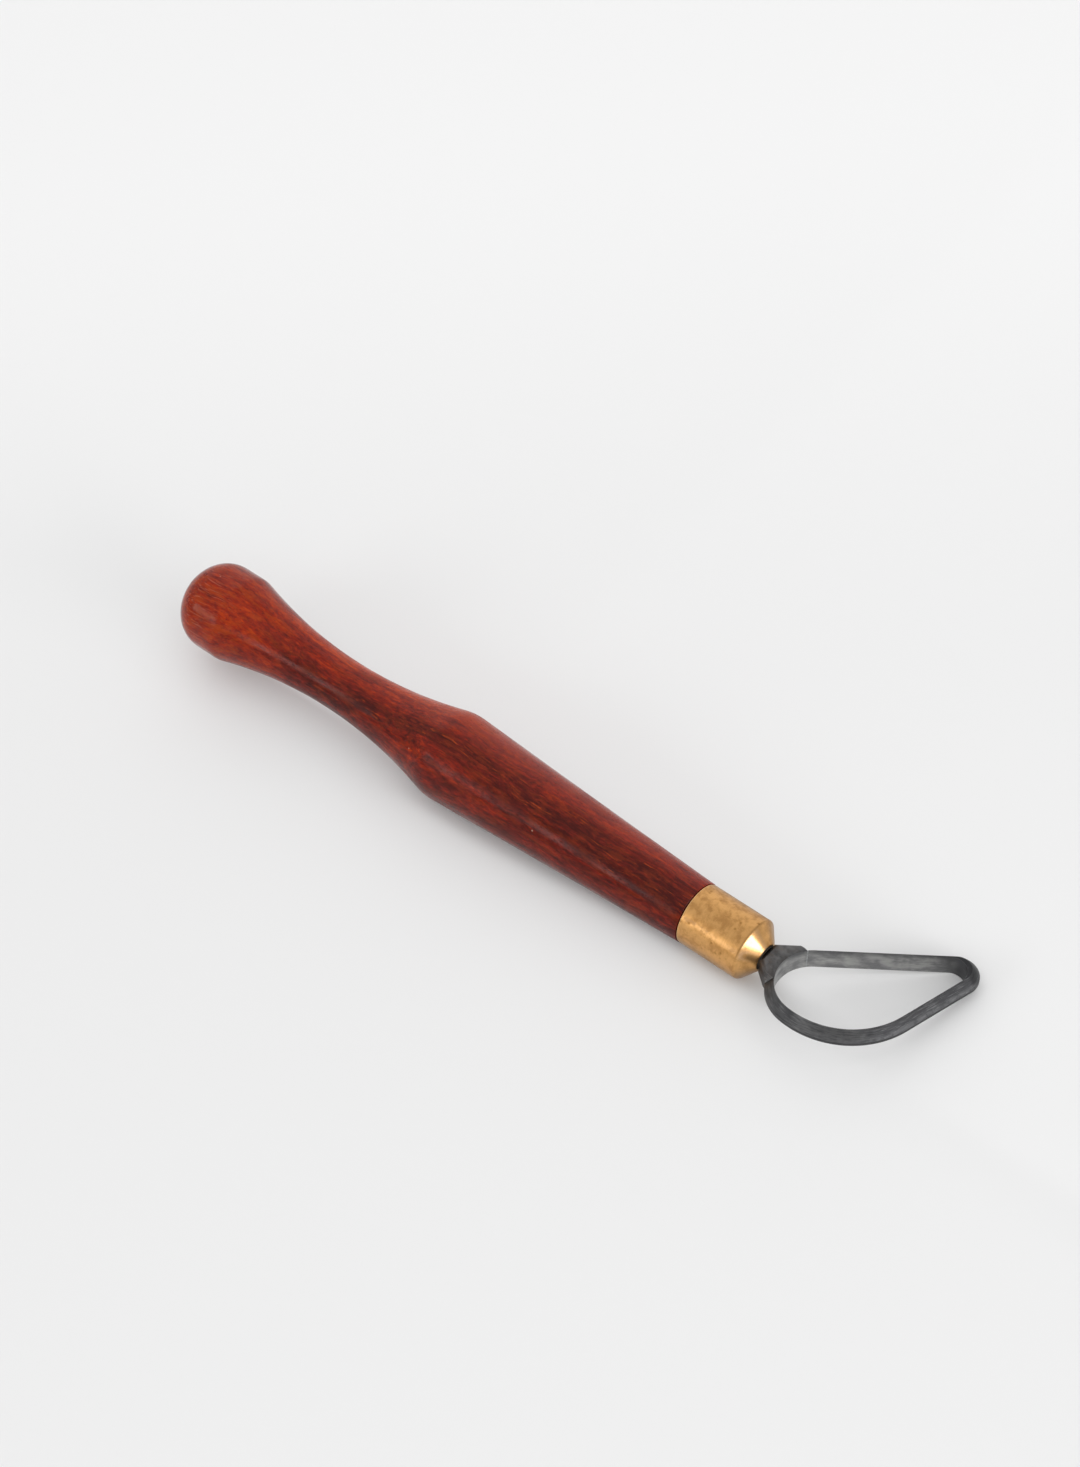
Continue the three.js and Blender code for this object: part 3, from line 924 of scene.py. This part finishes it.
# Painted sheen: the upper bevel is painted paler near the ridge, more towards the front.
sheen_near_ridge = spread(recipe, sums(recipe, "ABSOLUTE", height), *ridge_band)
sheen_near_ridge = times(recipe, sheen_near_ridge, spread(recipe, skin["Patches"], 0.1, 0.9, 1.0, 0.4))
sheen_near_ridge = times(recipe, sheen_near_ridge, spread(recipe, station, *bevel_sheen_part, 0.0, 0.34))
painted_bevel_sheen = sums(recipe, "MAXIMUM", sums(recipe, "SUBTRACT", sheen_near_ridge, upright_face), 0.0)
colour = stain(recipe, painted_bevel_sheen, colour, painted_sheen_grey)
bright_lines = spread(recipe, grinding, 0.52, 0.68, 0.0, 0.4)
colour = stain(recipe, bright_lines, colour, line_grey)
print("the bevels keep their scale at the heel and the tip")

# %% [markdown]
# The wall that looks into the opening was ground bright. It darkens along its upper edge and inside
# the tip. Broken edges are worn paler than the rest, and the grinding lines also change the sheen.

# %% Loop steel: inside wall and sheen
inside_grey = paint(132, 132, 133)
inside_bright = paint(176, 176, 174)
inside_line = paint(104, 104, 105)
inside_dark = paint(82, 82, 84)
edge_grey = paint(150, 150, 150)
upper_edge = (1.2, 2.9)
tip_part = (221.0, 226.0)

inside = marked(recipe, "inside_wall")
rubbed = noise(recipe, place, (0.2, 0.2, 0.3), 3.0, 0.6)[0]
bright = stain(recipe, spread(recipe, rubbed, 0.35, 0.65), inside_grey, inside_bright)
bright = stain(recipe, spread(recipe, grinding, 0.62, 0.3, 0.0, 0.35), bright, inside_line)
top_line = spread(recipe, height, *upper_edge, 0.0, 0.55)
tip_shade = spread(recipe, station, *tip_part, 0.0, 0.95)
bright = stain(recipe, sums(recipe, "MAXIMUM", top_line, tip_shade), bright, inside_dark)
colour = stain(recipe, inside, colour, bright)
worn = marked(recipe, "worn_edge")
colour = stain(recipe, times(recipe, worn, 0.2), colour, edge_grey)
feed(shader, "Base Color", colour)
feed(shader, "Roughness", spread(recipe, grinding, 0.3, 0.7, 0.58, 0.44))
bump = add_step(recipe, "Bump", {"Strength": 0.25, "Distance": 0.02 * mm, "Height": grinding})
feed(shader, "Normal", bump.outputs[0])
trimming_blade.data.materials.append(steel)
flared_saddle.data.materials.append(steel)
print("loop and saddle are steel")

# %% [markdown]
# ## Hidden joints: braze, shank and adhesive
#
# Three thin layers of braze metal, the drawn steel shank and the resin in its bore stay as the CAD
# made them, because their shapes are right. Each still gets a finish of its own. The far seam was
# filed bright, and the other braze kept the brown of its heating.

# %% Braze
def dress_node(name, finish):
    """Give a CAD node its finish, and leave its mesh alone"""
    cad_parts[name].material_slots[0].material = finish
    print(f"{name} wears {finish.name}")


def braze_metal(name, bare, dulled_tone):
    """Filed braze metal between two tones"""
    finish, recipe, shader, place = start_finish(name, 0.5, 1.0)
    dulled = use_group(
        recipe, tarnish, Place=place, Patches_per_mm=1.2, Bare=bare, Dulled=dulled_tone, Amount=0.8)
    filing = use_group(recipe, tool_marks, Place=place, Rates=(2.0, 2.0, 5.0), Depth=1.0)["Marks"]
    feed(shader, "Base Color", dulled["Colour"])
    feed(shader, "Roughness", spread(recipe, filing, 0.3, 0.7, 0.6, 0.42))
    return finish


dark_braze = braze_metal("dark_braze", paint(88, 84, 79), paint(72, 68, 63))
filed_braze = braze_metal("filed_braze", paint(184, 186, 186), paint(140, 142, 142))
dress_node("shank_braze", dark_braze)
dress_node("near_seam_braze", dark_braze)
dress_node("far_seam_braze", filed_braze)

# %% [markdown]
# The shank is bright drawn rod. The die left fine lines along it, so its tool marks change quickly
# across the rod and slowly along X.

# %% Shank
drawn_rod, recipe, shader, place = start_finish("drawn_rod", 0.35, 1.0)
dulled = use_group(
    recipe, tarnish, Place=place, Patches_per_mm=0.5,
    Bare=paint(172, 171, 168), Dulled=paint(120, 116, 108), Amount=0.6)
drawing = use_group(recipe, tool_marks, Place=place, Rates=(0.15, 8.0, 8.0), Depth=1.0)["Marks"]
feed(shader, "Base Color", dulled["Colour"])
feed(shader, "Roughness", spread(recipe, drawing, 0.3, 0.7, 0.42, 0.28))
dress_node("shank", drawn_rod)

# %% [markdown]
# The adhesive was mixed by hand, so it is cloudy and holds small pale bubbles.

# %% Adhesive
resin_light = paint(176, 158, 118)
resin_dark = paint(150, 130, 92)
bubble_pale = paint(205, 192, 160)

resin, recipe, shader, place = start_finish("cured_resin", 0.5)
bubbles = add_step(recipe, "TexVoronoi", {"Vector": place, "Scale": 1.6}).outputs["Distance"]
clouds = noise(recipe, place, (0.6, 0.6, 0.6), 3.0)[0]
colour = stain(recipe, clouds, resin_light, resin_dark)
colour = stain(recipe, spread(recipe, bubbles, 0.16, 0.08, 0.0, 0.6), colour, bubble_pale)
feed(shader, "Base Color", colour)
feed(shader, "Roughness", spread(recipe, clouds, 0.3, 0.7, 0.42, 0.6))
dress_node("shank_adhesive", resin)

# %% [markdown]
# ## Floor
#
# The tool rests on three points: the ridge, the ferrule's front corner and the lower edge of the
# loop's tip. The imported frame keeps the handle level, so it is the floor that is tilted here, by the
# pitch and roll at which those three points touch it. Its height comes from the meshes themselves:
# it is raised until the lowest vertex, measured along the floor's own normal, stands on it.

# %% Floor
floor_slope_along = 0.0439
floor_slope_across = 0.112
floor_reach = 4.0
floor_normal = Vector((-floor_slope_along, -floor_slope_across, 1)).normalized()
resting = [turned_handle, brass_ferrule, trimming_blade, flared_saddle]
heights = {p.name: min(floor_normal.dot(v.co) for v in p.data.vertices) for p in resting}
floor_height = min(heights.values())
for name, height in heights.items():
    print(f"{name} stands {(height - floor_height) / mm:.3f} mm above the floor")

sheet = bmesh.new()
bmesh.ops.create_grid(sheet, x_segments=8, y_segments=8, size=floor_reach)
tilt = upright.rotation_difference(floor_normal).to_matrix()
bmesh.ops.rotate(sheet, cent=(0, 0, 0), matrix=tilt, verts=sheet.verts[:])
bmesh.ops.translate(sheet, vec=floor_normal * floor_height, verts=sheet.verts[:])
floor = put_in_scene("floor", new_mesh("floor", sheet))
print(f"floor {2 * floor_reach:.0f} m wide, {floor_height / mm:.2f} mm from the frame's origin")

# %% [markdown]
# The photograph shows hardly any contact shadow behind the tool, and a narrow one in front of the
# taper. The floor therefore shows a share of its tone without any shadow, by emission, and the rest is
# lit as paper is. The share is small in general, large in a strip behind the tool, and it drops to
# nothing right in front of the taper. It is given only to camera, glossy and transmission rays,
# so the light on the tool stays as it is.

# %% Floor finish
near_paper_painted_darker = paint(232, 232, 232)
far_paper_painted_paler = paint(241, 241, 241)
black = paint(0, 0, 0)
level_away = (-0.646, 0.763, 0.0)
plain_share = 0.16
front_share = 0.32
behind_share = 0.6

paper, recipe, shader, place = start_finish("pale_floor", 0.9)
reach_away = lean(recipe, place, level_away)
# The paper is painted paler away from the camera, a painted gradient of light.
tone = stain(recipe, spread(recipe, reach_away, -50.0, 200.0), near_paper_painted_darker, far_paper_painted_paler)
rays = add_step(recipe, "LightPath").outputs
seen = sums(recipe, "MAXIMUM", rays["Is Camera Ray"], rays["Is Glossy Ray"])
seen = sums(recipe, "MAXIMUM", seen, rays["Is Transmission Ray"])
along_floor, across_floor = parts_of(recipe, place)[:2]


def strip(recipe, value, rise, fall):
    """A strip that rises over one range and falls over another"""
    return times(recipe, spread(recipe, value, *rise), spread(recipe, value, *fall))


behind = strip(recipe, across_floor, rise=(-4.0, 4.0), fall=(48.0, 12.0))
beside_tool = strip(recipe, along_floor, rise=(-14.0, 12.0), fall=(235.0, 180.0))
behind = times(recipe, behind, beside_tool)
shadow_rim = spread(recipe, along_floor, 100.0, 160.0, -9.0, -5.2)
from_rim = sums(recipe, "SUBTRACT", shadow_rim, across_floor)
in_front = spread(recipe, from_rim, -1.5, 3.0, 0.0, front_share)
in_front = times(recipe, in_front, spread(recipe, from_rim, 16.0, 4.0, 0.5, 1.0))
taper_floor = spread(recipe, along_floor, 70.0, 92.0)
in_front = add_step(recipe, "Mix", {0: taper_floor, 2: plain_share, 3: in_front}).outputs[0]
share = sums(recipe, "MAXIMUM", in_front, spread(recipe, behind, 0.0, 1.0, 0.0, behind_share))
lifted = times(recipe, seen, share)
feed(shader, "Base Color", stain(recipe, lifted, tone, black))
feed(shader, "Emission Color", stain(recipe, lifted, black, tone))
feed(shader, "Emission Strength", 1.0)
feed(shader, "Specular IOR Level", 0.1)
floor.data.materials.append(paper)
print("floor recipe has", len(recipe.nodes), "nodes")

# %% [markdown]
# ## Camera
#
# The photograph looks down on the tool from the near side, at a little under fifty degrees, with
# the loop closest to the lens. The place and the lens were worked out from the handle, whose turned
# outline gives the perspective.

# %% Camera
camera_place = Vector((0.29762, -0.35639, 0.54695))
camera_aim = Vector((-0.02062, 0.01946, 0.0))
lens = bpy.data.cameras.new("photo_camera")
lens.lens = 69.94
lens.sensor_width = 36
lens.clip_start = 0.02
lens.clip_end = 20
camera = put_in_scene("photo_camera", lens)
camera.location = camera_place
camera.rotation_euler = (camera_aim - camera_place).to_track_quat("-Z", "Y").to_euler()
bpy.context.scene.camera = camera
print(f"camera {(camera_aim - camera_place).length:.3f} m from its aim")

# %% [markdown]
# ## Soft studio light
#
# The tool was photographed in even white light with hardly a shadow. A plain grey world, paler
# towards the upper left, lights it from all sides. One very large soft box hangs above the camera's
# side and fills the shadows, and it is kept out of the reflections. Three more lamps are there for
# what the metal mirrors: a broad one low on the far wall, one to the right of the camera that shines
# on the ferrule's cone, and a low one on the left that draws the streak along the handle. A lamp's
# place is its bearing, turned from the camera's view, and its height in degrees.

# %% World
view = (camera_aim - camera_place).normalized()
away = Vector((view.x, view.y, 0)).normalized()
right = away.cross(upright)
dim_wall = 0.47
bright_wall = 0.8


def bearing(turn, height):
    """Direction from the tool, turned clockwise from straight away and raised, in degrees"""
    turned = away * math.cos(math.radians(turn)) + right * math.sin(math.radians(turn))
    return turned * math.cos(math.radians(height)) + upright * math.sin(math.radians(height))


world = bpy.data.worlds.new("white_studio")
world.use_nodes = True
bpy.context.scene.world = world
recipe = world.node_tree
background = recipe.nodes["Background"]
direction = add_step(recipe, "TexCoord").outputs["Generated"]
towards_window = lean(recipe, direction, bearing(-60, 55))
studio_grey = spread(recipe, towards_window, 0.55, 0.95, dim_wall, bright_wall)
feed(background, "Strength", studio_grey)
feed(background, "Color", (1, 1, 1, 1))
print(f"world from {dim_wall} to {bright_wall} as bright as white")


# %% Lamps
def hang_lamp(name, direction, distance, width, height, power):
    """A soft rectangular lamp that faces the tool"""
    lamp = bpy.data.lights.new(name, "AREA")
    lamp.shape = "RECTANGLE"
    lamp.size = width
    lamp.size_y = height
    lamp.energy = power
    holder = put_in_scene(name, lamp)
    holder.location = direction * distance
    holder.rotation_euler = direction.to_track_quat("Z", "Y").to_euler()
    print(f"{name}: {power / (math.pi * width * height):.2f} as bright as white paper")
    return holder


soft_box = hang_lamp("soft_box", bearing(165, 62), distance=2.0, width=3.0, height=3.0, power=21.0)
soft_box.visible_glossy = False
hang_lamp("wall_lamp", bearing(0, 30), distance=2.2, width=2.4, height=2.0, power=8.8)
hang_lamp("right_lamp", bearing(133, 17), distance=3.0, width=1.95, height=0.9, power=36.0)
hang_lamp("left_lamp", bearing(-113, 17), distance=3.0, width=1.6, height=0.8, power=12.5)

# %% [markdown]
# ## Plain picture settings and the end
#
# The Standard view shows colours as they are written.

# %% Finish
bpy.context.scene.view_settings.view_transform = "Standard"
